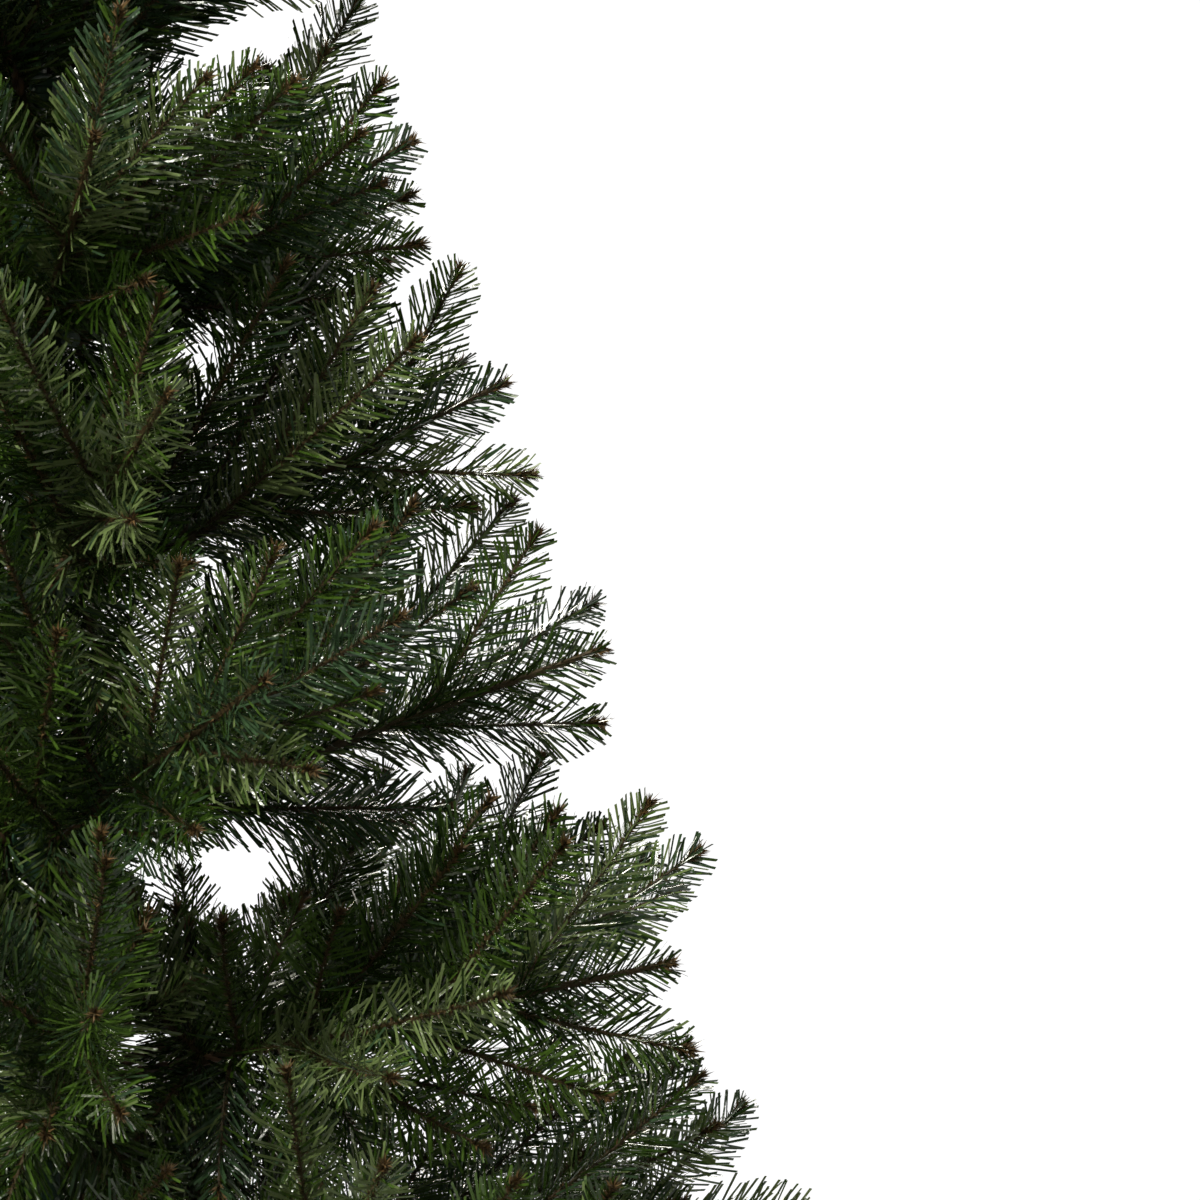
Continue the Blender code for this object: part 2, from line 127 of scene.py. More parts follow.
# The two wires of a bare run: point spacing, turn from point to point, closeness, and how far they run on
WIRE_STEP = 0.002
WIRE_TURN = 0.42
WIRE_NEST = 0.9
BARE_OVERLAP = 0.02
COVERED_RUN = 0.06

# Hinges: an ear on each side of a bough, and a pin through both
EAR_LENGTH = 0.013
EAR_HEIGHT = 0.011
EAR_THICKNESS = 0.0016
EAR_SINK = 0.003
EAR_ROOM = 0.0022
PIN_PLACE = 0.0075
PIN_ROOM = 0.0042
PIN_SHANK = 0.9
PIN_RADII = (0.0008, 0.0015, 0.0015, 0.0008)

# Sprays in the crown
OUTLINE_PLAY = 0.02
LOWEST_NEEDLE = 0.235
SHRINK = 0.91
TRIES = 11
LONG_SPRAY = 0.240
SHORT_SPRAY = 0.150
PAIRS = 3
FIRST_PAIR = 0.12
PAIRED_SHARE = 0.62
PAIR_STAGGER = 0.04
LENGTH_LOSS = 0.36
WIDEST_SPREAD = 48
SPREAD_LOSS = 0.3
SPREAD_PLAY = 7
PAIR_ROLLS = (20, 75)
LOWEST_TILT = -0.50
HIGHEST_TILT = 0.65
UPRIGHT_AFTER = 0.10
UPRIGHT_STAGGER = 0.03
UPRIGHT_FORWARD = 0.75
UPRIGHT_SIDEWAYS = 0.3
UPRIGHT_RISES = (0.55, 0.85)
UPRIGHT_ROLL = 50
UPRIGHT_LENGTH = 0.66
END_ROLLS = (15, 60)
LEADER_POINTS = 9
LEADER_RINGS = 3
LEADER_RING_SPRAYS = 4
FIRST_RING = 0.030
RING_STEP = 0.044
RING_STAGGER = 0.011
RING_TURN_PLAY = 0.2
RING_RISES = (54, 64)
RING_ROLL = 25
RING_LENGTH = 0.95
RING_SHRINK = 0.16

# Seeds of the masses' draws, which the source makes too, and of those that only the twigs make
MASS_SEED_STEP = 100
LEADER_SEED = 900
FINER_SEED = 1000
FINER_SEED_STEP = 10
FINER_LEADER_SEED = 1900

# Twigs lie closer to their bough than the blades of the solids, are longer and lifted, and some are missing
CLOSER = 0.30
LOW_RISE = 0.62
TOP_RISE = 1.0
LONGER = 1.30
LIFTED = 0.34
MISSING = 0.30

# Short steep twigs hide the pole: how far along the bough they start, and their parts outwards and sideways
RootRow = namedtuple("RootRow", "share out sides")
ROOT_ROWS = (RootRow(0.02, 0.30, (-0.45, 0.45)),)
BARE_ROOT_ROWS = (
    RootRow(0.02, -0.45, (-1.4, -0.5, 0.5, 1.4)),
    RootRow(0.09, 0.05, (-0.7, 0.7)),
    RootRow(0.22, 0.35, (-0.5, 0.5)),
)
ROOT_TWIG_LENGTHS = (0.085, 0.115)
BARE_ROOT_LENGTHS = (0.100, 0.135)
ROOT_SIDE_PLAY = (0.5, 1.2)
ROOT_PLACE_PLAY = (0.8, 1.3)
ROOT_BEND = 0.1

# Finer twigs off each spray: how far along it, and how far they turn off
SIDE_SHARES = (0.24,)
SIDE_TURN = math.radians(25)
SIDE_TURN_PLAY = 0.10
SIDE_TILT = 0.45
SIDE_LENGTH = 0.62
SIDE_LENGTH_PLAY = (0.85, 1.15)
SHORTEST_SIDE = 0.130
TWIG_STEP = 0.035
TWIG_LIFTS = (-0.01, 0.10)
TWIG_DRIFT = 0.03
TWIG_RADIUS = 0.0016
TWIG_TIP_RADIUS = 0.0010

# Needles: flat strips cut from PVC film, set all round the twisted wire
NEEDLE_LENGTH = 0.040
NEEDLE_WIDTH = 0.0017
NEEDLE_LENGTH_PLAY = (0.84, 1.06)
NEEDLE_WIDTH_PLAY = (0.85, 1.15)
NEEDLE_ROOT_WIDTH = 0.7
NEEDLE_SLANT = 0.03
NEEDLE_TWIST = 1.0
NEEDLE_BENDS = (-0.10, 0.30)
NEEDLES_PER_METRE = 1260
SPOT_PLAY = 0.5
NEEDLE_SEED = 7
NEEDLE_LEAN = math.radians(50)
TIP_LEAN = math.radians(44)
LEAN_PLAY = math.radians(4)
TIP_RUN = 0.060
TIP_NEEDLE = 0.28
TIP_GROWTH = 0.8
BENT_SHARE = 0.45
HOME_SHARE = 0.70
BARE_TIP = 0.005
FACES_A_PIECE = 190000

# Bristles: short and brown, on every twig's wire and thicker in a tuft at its tip
BRISTLES_PER_METRE = 2000
BRISTLE_LENGTH = 0.0054
BRISTLE_LENGTH_PLAY = (0.7, 1.2)
BRISTLE_WIDTH = 0.0021
BRISTLE_LEAN = math.radians(62)
BRISTLE_LEAN_PLAY = 0.2
BRISTLE_TWIST = 1.5
TUFT_RUN = 0.013
TUFT_PER_METRE = 5200
TUFT_LENGTH = 0.0085
TUFT_LEAN = math.radians(40)
BRISTLE_SEED = 8
BRISTLE_PIECES = 2

# Needle tints: name, base colour and share of the sprays
Tint = namedtuple("Tint", "name colour share")
TINTS = (
    Tint("deep", (0.010, 0.023, 0.002), 0.34),
    Tint("mid", (0.027, 0.053, 0.007), 0.30),
    Tint("blue", (0.020, 0.040, 0.017), 0.20),
    Tint("light", (0.068, 0.094, 0.032), 0.16),
)

# Bristle browns: name, base colour, share of the bristles and share of the tufts. The wire runs take mostly
# the dark brown, partly painted shade, and the tip tufts mostly the lighter rust brown, partly painted light
# where the tips are lit
Brown = namedtuple("Brown", "name colour share tuft_share")
BROWNS = (
    Brown("dark_brown", (0.025, 0.016, 0.004), 0.78, 0.3),
    Brown("rust_brown_and_tip_light", (0.062, 0.035, 0.010), 0.22, 0.7),
)

# The photo's frame: its width at the pole, its middle, where its camera stood and its turn round the tree
FRAME_WIDTH = 0.804
FRAME_MIDDLE = Vector((0.378, 0.0, 0.815))
CAMERA_PLACE = Vector((0.0, -4.5, 1.05))
VIEW_TURN = math.radians(-2)
SENSOR_WIDTH = 36.0

# Floor, the strength of the white behind the tree, and the weaker light that it gives
FLOOR_RADIUS = 2.6
FLOOR_THICKNESS = 0.02
FLOOR_FADE = 0.9
WHITE = 1.05
SOFT_COLOUR = (0.92, 1.0, 0.50)
SOFT_STRENGTH = 0.040

# Lamps: name, place, size, power and colour
Lamp = namedtuple("Lamp", "name place size power colour")
LIT_POINT = (0.1, 0.0, 0.9)
LAMPS = (
    Lamp("key", (-1.7, -2.4, 3.5), 0.6, 370, (1.0, 0.98, 0.90)),
    Lamp("fill", (-0.9, -3.5, 1.2), 1.4, 22, (1.0, 0.96, 0.86)),
    Lamp("back", (0.0, 3.4, 2.0), 2.0, 215, (1.0, 0.96, 0.84)),
    Lamp("side", (3.3, 0.9, 2.0), 2.0, 90, (1.0, 0.96, 0.84)),
    Lamp("top", (0.6, 0.4, 3.6), 1.6, 90, (1.0, 0.97, 0.88)),
)

UP = Vector((0, 0, 1))
# A direction that no path follows, from which the directions across a path are worked out
OFF_AXIS = (0.31, 0.17, 0.93)
Twig = namedtuple("Twig", "path radii tint")


def outward_at(angle):
    return Vector((math.cos(angle), math.sin(angle), 0))


# Materials


def new_material(name, colour, roughness, metallic=0.0, specular=0.5):
    """A Principled material, returned with its shader."""
    made = bpy.data.materials.new(name)
    made.use_nodes = True
    shader = made.node_tree.nodes["Principled BSDF"]
    shader.inputs["Base Color"].default_value = (*colour, 1.0)
    shader.inputs["Roughness"].default_value = roughness
    shader.inputs["Metallic"].default_value = metallic
    shader.inputs["Specular IOR Level"].default_value = specular
    return made, shader


def add_node(made, kind, **values):
    """A node with its input sockets set by name."""
    node = made.node_tree.nodes.new(kind)
    for socket, value in values.items():
        node.inputs[socket.replace("_", " ")].default_value = value
    return node


def noise(made, scale, detail=3.0):
    """Noise in the object's own metres."""
    coordinates = made.node_tree.nodes.new("ShaderNodeTexCoord")
    texture = add_node(made, "ShaderNodeTexNoise", Scale=scale, Detail=detail)
    made.node_tree.links.new(coordinates.outputs["Object"], texture.inputs["Vector"])
    return texture.outputs["Fac"]


def bump(made, shader, height, strength, distance):
    """Bump from a height, on the shader's normal."""
    node = add_node(made, "ShaderNodeBump", Strength=strength, Distance=distance)
    made.node_tree.links.new(height, node.inputs["Height"])
    made.node_tree.links.new(node.outputs["Normal"], shader.inputs["Normal"])


def mottle(made, shader, scale, dark, light, low=0.38, high=0.64):
    """Base colour that runs between two colours over noise."""
    ramp = made.node_tree.nodes.new("ShaderNodeValToRGB")
    ramp.color_ramp.elements[0].position = low
    ramp.color_ramp.elements[1].position = high
    ramp.color_ramp.elements[0].color = (*dark, 1.0)
    ramp.color_ramp.elements[1].color = (*light, 1.0)
    made.node_tree.links.new(noise(made, scale), ramp.inputs["Fac"])
    made.node_tree.links.new(ramp.outputs["Color"], shader.inputs["Base Color"])


def needle_material(tint):
    """Glossy PVC film with the slight waves that cutting leaves in it."""
    made, shader = new_material(f"needle_{tint.name}", tint.colour, 0.25, specular=0.36)
    bump(made, shader, noise(made, 260.0, 1.0), 0.35, 0.002)
    return made


def bristle_material(brown):
    """The short film bristles and wire of the twigs' cores."""
    made, shader = new_material(brown.name, brown.colour, 0.62, specular=0.25)
    bump(made, shader, noise(made, 600.0, 1.0), 0.4, 0.001)
    return made


def wire_material():
    """Brown lacquer on twisted bough wire."""
    made, shader = new_material("bough_wire", (0.060, 0.030, 0.014), 0.50, specular=0.4)
    mottle(made, shader, 90.0, (0.034, 0.018, 0.010), (0.085, 0.044, 0.020))
    bump(made, shader, noise(made, 500.0), 0.3, 0.0006)
    return made


def steel_material():
    """Dark green powder coat with its fine orange-peel skin."""
    made, shader = new_material("green_powder_coat", (0.012, 0.040, 0.022), 0.38)
    mottle(made, shader, 24.0, (0.009, 0.031, 0.017), (0.015, 0.048, 0.027))
    bump(made, shader, noise(made, 1400.0, 2.0), 0.18, 0.0004)
    return made


def zinc_material():
    """Dull zinc plate of the screws and hinge pins."""
    made, shader = new_material("zinc_plate", (0.52, 0.53, 0.54), 0.34, metallic=1.0)
    mottle(made, shader, 120.0, (0.40, 0.41, 0.42), (0.60, 0.61, 0.62))
    bump(made, shader, noise(made, 900.0), 0.15, 0.0003)
    return made


def rubber_material():
    """Matt black caps under the legs."""
    made, shader = new_material("black_cap", (0.016, 0.016, 0.017), 0.66, specular=0.35)
    mottle(made, shader, 60.0, (0.012, 0.012, 0.013), (0.022, 0.022, 0.023))
    bump(made, shader, noise(made, 1000.0), 0.25, 0.0005)
    return made


# Mesh making


def mesh_of(name, points, corners, sizes):
    """A mesh from an array of points, the corners of its faces in a row, and each face's corner count."""
    mesh = bpy.data.meshes.new(name)
    mesh.vertices.add(len(points))
    mesh.vertices.foreach_set("co", np.asarray(points, np.float32).ravel())
    mesh.loops.add(len(corners))
    mesh.loops.foreach_set("vertex_index", np.asarray(corners, np.int32))
    mesh.polygons.add(len(sizes))
    starts = np.concatenate(([0], np.cumsum(sizes)[:-1]))
    mesh.polygons.foreach_set("loop_start", starts.astype(np.int32))
    mesh.update(calc_edges=True)
    return mesh


def add_piece(name, mesh, material, nodes=()):
    """An object that rides on the tree and may stand for some of its solids."""
    mesh.materials.append(material)
    piece = bpy.data.objects.new(name, mesh)
    bpy.context.scene.collection.objects.link(piece)
    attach(piece, "root")
    if nodes:
        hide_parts(*nodes)


class Shape:
    """Points and faces gathered from many small forms into one mesh."""

    def __init__(self):
        self.points = []
        self.corners = []
        self.sizes = []
        self.count = 0

    def add(self, points, faces):
        """Adds points, and faces of equal size that count from the first of them."""
        faces = np.asarray(faces, np.int64)
        self.points.append(np.asarray(points, float))
        self.corners.append((faces + self.count).ravel())
        self.sizes.append(np.full(len(faces), faces.shape[1]))
        self.count += len(points)

    def mesh(self, name, smooth=True):
        """The gathered forms as one mesh, shaded smooth except over sharp edges."""
        gathered = (np.concatenate(part) for part in (self.points, self.corners, self.sizes))
        mesh = mesh_of(name, *gathered)
        if smooth:
            mesh.shade_smooth()
            mesh.set_sharp_from_angle(angle=math.radians(40))
        return mesh


def ring_faces(rings, sides):
    """The four-cornered faces between rings of points, each ring closed on itself."""
    here = np.arange(rings - 1)[:, None] * sides + np.arange(sides)[None, :]
    beside = np.arange(rings - 1)[:, None] * sides + (np.arange(sides)[None, :] + 1) % sides
    return np.stack([here, beside, beside + sides, here + sides], axis=-1).reshape(-1, 4)


def cap_faces(first, sides, middle, outward):
    """Triangles from a ring to a middle point."""
    here = first + np.arange(sides)
    beside = first + (np.arange(sides) + 1) % sides
    hub = np.full(sides, middle)
    order = (here, beside, hub) if outward else (beside, here, hub)
    return np.stack(order, axis=-1)


def turned(shape, profile, sides, matrix=None):
    """Adds a form turned about Z from (radius, height) points that run up its outer side."""
    profile = np.asarray(profile, float)
    angles = np.arange(sides) / sides * math.tau
    x = profile[:, 0, None] * np.cos(angles)
    y = profile[:, 0, None] * np.sin(angles)
    z = np.repeat(profile[:, 1, None], sides, axis=1)
    points = np.stack([x, y, z], axis=-1).reshape(-1, 3)
    ends = np.array([[0, 0, profile[0, 1]], [0, 0, profile[-1, 1]]])
    rings = len(profile)
    place(shape, np.concatenate([points, ends]), matrix, ring_faces(rings, sides), (
        cap_faces(0, sides, rings * sides, False),
        cap_faces((rings - 1) * sides, sides, rings * sides + 1, True),
    ))


def place(shape, points, matrix, quads, caps):
    """Adds points moved by a matrix, with their faces of four corners and of three."""
    if matrix is not None:
        turn = np.array(matrix)
        points = points @ turn[:3, :3].T + turn[:3, 3]
    first = shape.count
    shape.add(points, quads)
    for cap in caps:
        shape.corners.append((np.asarray(cap) + first).ravel())
        shape.sizes.append(np.full(len(cap), 3))


def frames_along(path):
    """Two directions across a path, turned as little as can be from point to point."""
    tangents = np.gradient(path, axis=0)
    tangents /= np.linalg.norm(tangents, axis=1, keepdims=True)
    across = np.cross(tangents[0], OFF_AXIS)
    sides = []
    for tangent in tangents:
        across = across - tangent * across.dot(tangent)
        across = across / np.linalg.norm(across)
        sides.append(across)
    sides = np.array(sides)
    return sides, np.cross(tangents, sides)


def tube(shape, path, radii, sides, closed=True):
    """Adds a tube along a path, with a radius at each point."""
    path = np.asarray(path, float)
    across, over = frames_along(path)
    angles = (np.arange(sides) / sides * math.tau)[None, :, None]
    ring = across[:, None, :] * np.cos(angles) + over[:, None, :] * np.sin(angles)
    points = (path[:, None, :] + ring * np.asarray(radii, float)[:, None, None]).reshape(-1, 3)
    rings = len(path)
    caps = ()
    if closed:
        points = np.concatenate([points, path[:1], path[-1:]])
        caps = (
            cap_faces(0, sides, rings * sides, False),
            cap_faces((rings - 1) * sides, sides, rings * sides + 1, True),
        )
    place(shape, points, None, ring_faces(rings, sides), caps)


def plate(shape, outline, thickness, matrix):
    """Adds a flat plate of an outline in its own X and Y, centred on Z."""
    count = len(outline)
    points = np.array([(x, y, z) for z in (-thickness / 2, thickness / 2) for x, y in outline])
    ends = np.array([(0, 0, -thickness / 2), (0, 0, thickness / 2)])
    ends[:, :2] = np.mean(outline, axis=0)
    caps = (cap_faces(0, count, 2 * count, False), cap_faces(count, count, 2 * count + 1, True))
    place(shape, np.concatenate([points, ends]), matrix, ring_faces(2, count), caps)


# Places in the crown


def tier_height(index):
    """Height of a tier's hinge collar."""
    return LOWEST_TIER + TIER_STEP * index


def pole_radius(height):
    """Radius of the pole's section at a height."""
    return next(radius for radius, top in SECTIONS if height <= top)


def collar_radius(index):
    return pole_radius(tier_height(index)) + COLLAR_WIDTH


def rise_slope(index):
    return math.tan(math.radians(TIERS[index].rise))


def bough_height(index, reach):
    """Height of a tier's bough line at a distance from the axis: level out of the hinge, then rising."""
    bend = collar_radius(index) + HINGE_RUN
    return tier_height(index) + rise_slope(index) * max(0.0, reach - bend)


def tip_reach(index):
    """Distance from the axis where a tier's bough line meets the crown's outline."""
    bend = collar_radius(index) + HINGE_RUN
    slope = rise_slope(index)
    return CROWN_SLOPE * (TREE_HEIGHT - tier_height(index) + slope * bend) / (1 + CROWN_SLOPE * slope)


def azimuth(index, number):
    """Direction of a bough. Each tier is turned by the golden angle against the one below."""
    step = math.tau / TIERS[index].boughs
    return FIRST_BOUGH + (index * GOLDEN_ANGLE) % step + number * step


def on_bough(index, outward, reach):
    return outward * reach + UP * bough_height(index, reach)


def outline_reach(height):
    """How far a spray may reach from the axis at a height."""
    return CROWN_SLOPE * (TREE_HEIGHT - height) + OUTLINE_PLAY


# Twigs


def directions(direction, roll):
    """A spray's forward direction, and the one across it that its roll turns to."""
    forward = direction.normalized()
    across = UP.cross(forward)
    # An upright spray has no level direction across it of its own
    if across.length < 0.05:
        across = Vector((1, 0, 0)).cross(forward)
    return forward, Matrix.Rotation(roll, 3, forward) @ across.normalized()


def in_crown(point):
    """Whether a point is above the lowest needles and inside the crown's outline."""
    reach = math.hypot(point.x, point.y)
    return point.z > LOWEST_NEEDLE + NEEDLE_LENGTH / 2 and reach <= outline_reach(point.z)


def fitted(root, direction, roll, length):
    """A spray's forward and across directions and length, shortened until its tip keeps to the crown."""
    forward, across = directions(direction, roll)
    for _ in range(TRIES):
        if in_crown(root + forward * length):
            return forward, across, length
        length *= SHRINK
    return None


def twig_path(root, forward, lift, length):
    """Points along a twig that bends evenly towards its lift."""
    steps = max(3, round(length / TWIG_STEP) + 1)
    shares = np.linspace(0, 1, steps)[:, None]
    return np.array(root) + np.array(forward) * length * shares + np.array(lift) * length * shares**2


def thin_twig(root, forward, lift, length, tint):
    """A twig that thins towards its tip."""
    path = twig_path(root, forward, lift, length)
    radii = np.linspace(TWIG_RADIUS, TWIG_TIP_RADIUS, len(path))
    return Twig(path, radii, tint)


def pick_tint(rule):
    return rule.choices(range(len(TINTS)), [tint.share for tint in TINTS])[0]


def spray_twigs(root, forward, across, length, rule):
    """One spray: its main twig, and the finer ones beside it where they are long enough."""
    over = forward.cross(across)
    tint = pick_tint(rule)
    lift = UP * rule.uniform(*TWIG_LIFTS) + across * rule.uniform(-TWIG_DRIFT, TWIG_DRIFT)
    yield thin_twig(root, forward, lift, length, tint)
    side = rule.choice((-1, 1))
    for share in SIDE_SHARES:
        side = -side
        turn = SIDE_TURN + rule.uniform(-SIDE_TURN_PLAY, SIDE_TURN_PLAY)
        tilt = rule.uniform(-SIDE_TILT, SIDE_TILT)
        aside = across * side * math.cos(tilt) + over * math.sin(tilt)
        aim = forward * math.cos(turn) + aside * math.sin(turn)
        start = root + forward * length * share
        reach = length * SIDE_LENGTH * rule.uniform(*SIDE_LENGTH_PLAY)
        while reach > SHORTEST_SIDE and not in_crown(start + aim * reach):
            reach *= SHRINK
        if reach > SHORTEST_SIDE:
            yield thin_twig(start, aim, lift, reach, tint)


def fullness(index):
    """1 at the lowest tier and towards 0 at the top."""
    return 1 - index / len(TIERS)


def shoot_plan(index, rule):
    """The sprays of one mass from the pole outwards, as (share of the stem, aim, roll, length).

    An aim has its parts along the stem, to its side and above it.
    """
    pairs = PAIRS if index < len(TIERS) - 1 else PAIRS - 1
    middle_spread = WIDEST_SPREAD - SPREAD_LOSS * TIERS[index].rise
    longest = SHORT_SPRAY + (LONG_SPRAY - SHORT_SPRAY) * fullness(index)
    for k in range(pairs):
        share = FIRST_PAIR + PAIRED_SHARE * k / pairs
        length = longest * (1 - LENGTH_LOSS * k / pairs)
        for side in (-1, 1):
            spread = math.radians(middle_spread + rule.uniform(-SPREAD_PLAY, SPREAD_PLAY))
            aim = (math.cos(spread), side * math.sin(spread), rule.uniform(LOWEST_TILT, HIGHEST_TILT))
            roll = math.radians(rule.choice((-1, 1)) * rule.uniform(*PAIR_ROLLS))
            yield share + PAIR_STAGGER * side, aim, roll, length
        for vertical in (-1, 1):
            sideways = rule.uniform(-UPRIGHT_SIDEWAYS, UPRIGHT_SIDEWAYS)
            aim = (UPRIGHT_FORWARD, sideways, vertical * rule.uniform(*UPRIGHT_RISES))
            roll = math.radians(rule.uniform(-UPRIGHT_ROLL, UPRIGHT_ROLL))
            yield share + UPRIGHT_AFTER + UPRIGHT_STAGGER * vertical, aim, roll, UPRIGHT_LENGTH * length


def bough_line(index, outward, first, last, step):
    """Points of a bough between two distances from the axis."""
    count = max(3, round((last - first) / step) + 1)
    return np.array([on_bough(index, outward, reach) for reach in np.linspace(first, last, count)])


def root_twigs(index, outward, start, tip, rule):
    """Short twigs up and down from the inner end of a bough's needles."""
    lateral = UP.cross(outward)
    bare = index < BARE_TIERS
    lengths = BARE_ROOT_LENGTHS if bare else ROOT_TWIG_LENGTHS
    for row in BARE_ROOT_ROWS if bare else ROOT_ROWS:
        for vertical in (-1, 1):
            for side in row.sides:
                aim = outward * row.out + lateral * side * rule.uniform(*ROOT_SIDE_PLAY) + UP * vertical
                reach = start + (tip - start) * row.share * rule.uniform(*ROOT_PLACE_PLAY)
                root = on_bough(index, outward, reach)
                length = rule.uniform(*lengths)
                yield thin_twig(root, aim.normalized(), outward * ROOT_BEND, length, pick_tint(rule))


def mass_twigs(index, number):
    """All twigs of one mass: its own bough, and the sprays along it."""
    # Opposite boughs of the lowest tier are alike, as in the source
    alike = TIERS[0].boughs // 2
    rule = random.Random(MASS_SEED_STEP * index + (number % alike if index == 0 else number))
    finer = random.Random(FINER_SEED + FINER_SEED_STEP * index + number)
    outward = outward_at(azimuth(index, number))
    lateral = UP.cross(outward)
    forward = (outward + UP * rise_slope(index)).normalized()
    upward = forward.cross(lateral)
    start = (BARE_REACH if index < BARE_TIERS else collar_radius(index)) + GAP
    tip = tip_reach(index)

    # The source draws its end spray's roll here, ahead of the plan
    rule.choice((-1, 1))
    rule.uniform(*END_ROLLS)
    path = bough_line(index, outward, start, tip, TWIG_STEP)
    yield Twig(path, np.linspace(STEM_RADIUS, STEM_TIP_RADIUS, len(path)), pick_tint(finer))
    rise = TOP_RISE + (LOW_RISE - TOP_RISE) * fullness(index)
    for share, aim, roll, length in shoot_plan(index, rule):
        root = on_bough(index, outward, start + (tip - start) * share)
        # Sprays that aim steeply down aren't lifted
        lifted = LIFTED * fullness(index) if aim[2] >= LOWEST_TILT else 0.0
        direction = forward * (aim[0] + CLOSER) + lateral * aim[1] + upward * (aim[2] * rise + lifted)
        spray = fitted(root, direction, roll, length * LONGER)
        if spray and finer.random() > MISSING:
            yield from spray_twigs(root, *spray, finer)
    yield from root_twigs(index, outward, start, tip, finer)


def leader_twigs():
    """The twigs of the tree's upright top."""
    rule = random.Random(LEADER_SEED)
    finer = random.Random(FINER_LEADER_SEED)
    start = POLE_TOP + GAP
    path = np.zeros((LEADER_POINTS, 3))
    path[:, 2] = np.linspace(start, TREE_HEIGHT, LEADER_POINTS)
    yield Twig(path, np.linspace(STEM_RADIUS, STEM_TIP_RADIUS, LEADER_POINTS), pick_tint(finer))
    for ring in range(LEADER_RINGS):
        for k in range(LEADER_RING_SPRAYS):
            angle = math.tau * (k + 0.5 * ring) / LEADER_RING_SPRAYS
            angle += rule.uniform(-RING_TURN_PLAY, RING_TURN_PLAY)
            rise = math.radians(rule.uniform(*RING_RISES))
            aim = outward_at(angle) * math.cos(rise) + UP * math.sin(rise)
            root = UP * (start + FIRST_RING + RING_STEP * ring + RING_STAGGER * k)
            length = SHORT_SPRAY * (RING_LENGTH - RING_SHRINK * ring)
            roll = math.radians(rule.uniform(-RING_ROLL, RING_ROLL))
            spray = fitted(root, aim, roll, length)
            if spray:
                yield from spray_twigs(root, *spray, finer)


def grow_crown():
    """Every twig of the crown, from the lowest tier to the leader."""
    twigs = []
    for index, tier in enumerate(TIERS):
        for number in range(tier.boughs):
            twigs.extend(mass_twigs(index, number))
    twigs.extend(leader_twigs())
    return twigs


# Needles


def unit(vectors):
    return vectors / np.linalg.norm(vectors, axis=-1, keepdims=True)


def spots_on(path, per_metre, rng):
    """Places spread along a path: distance to its end, point, tangent and a direction straight out."""
    along = np.concatenate(([0.0], np.cumsum(np.linalg.norm(np.diff(path, axis=0), axis=1))))
    count = int(along[-1] * per_metre)
    here = (np.arange(count) + rng.uniform(0, 1, count)) / count * along[-1]
    tangents = np.gradient(path, axis=0)
    point = np.stack([np.interp(here, along, path[:, k]) for k in range(3)], axis=1)
    tangent = unit(np.stack([np.interp(here, along, tangents[:, k]) for k in range(3)], axis=1))
    across = unit(np.cross(tangent, OFF_AXIS))
    over = np.cross(tangent, across)
    turn = (np.arange(count) * GOLDEN_ANGLE + rng.normal(0, SPOT_PLAY, count))[:, None]
    out = across * np.cos(turn) + over * np.sin(turn)
    return along[-1] - here, point, tangent, out


def needle_strips(twig, rng):
    """The needles of one twig as arrays: start, middle, end, half width, tint, and whether they bend."""
    spots = spots_on(twig.path, NEEDLES_PER_METRE, rng)
    to_tip, point, tangent, out = (column[spots[0] > BARE_TIP] for column in spots)
    count = len(to_tip)
    grown = np.clip(to_tip / TIP_RUN, 0, 1)
    lean = (TIP_LEAN + (NEEDLE_LEAN - TIP_LEAN) * grown + rng.normal(0, LEAN_PLAY, count))[:, None]
    length = NEEDLE_LENGTH * (TIP_NEEDLE + (1 - TIP_NEEDLE) * grown**TIP_GROWTH)
    length = (length * rng.uniform(*NEEDLE_LENGTH_PLAY, count))[:, None]
    aim = tangent * np.cos(lean) + out * np.sin(lean)
    # A fringe is cut across its film, so each strip lies flat along the wire but for its twist
    roll = math.pi / 2 + rng.uniform(-NEEDLE_TWIST, NEEDLE_TWIST, count)[:, None]
    flat = np.cross(tangent, out)
    side = flat * np.cos(roll) + np.cross(aim, flat) * np.sin(roll)
    side = unit(side) * (NEEDLE_WIDTH / 2 * rng.uniform(*NEEDLE_WIDTH_PLAY, count)[:, None])
    bend = rng.uniform(*NEEDLE_BENDS, count)[:, None]
    middle = point + aim * length * 0.5
    end = middle + unit(aim + tangent * bend) * length * 0.5
    drawn = rng.choice(len(TINTS), count, p=[tint.share for tint in TINTS])
    tint = np.where(rng.uniform(0, 1, count) < HOME_SHARE, twig.tint, drawn)
    bent = rng.uniform(0, 1, count) < BENT_SHARE
    return point, middle, end, side, tint, bent


def strip_mesh(name, start, middle, end, side, bent):
    """One mesh of needles: a face each, or two where a needle bends."""
    shape = Shape()
    slant = (end - middle) * NEEDLE_SLANT
    root = side * NEEDLE_ROOT_WIDTH
    roots = [start - root, start + root]
    ends = [end - side - slant, end + side + slant]
    straight = np.stack([*roots, *reversed(ends)], axis=1)[~bent]
    shape.add(straight.reshape(-1, 3), np.arange(len(straight) * 4).reshape(-1, 4))
    curved = np.stack([*roots, middle - side, middle + side, *ends], axis=1)[bent]
    first = np.arange(len(curved))[:, None] * 6
    shape.add(curved.reshape(-1, 3), np.concatenate([first + [0, 1, 3, 2], first + [2, 3, 5, 4]]))
    return shape.mesh(name, smooth=False)


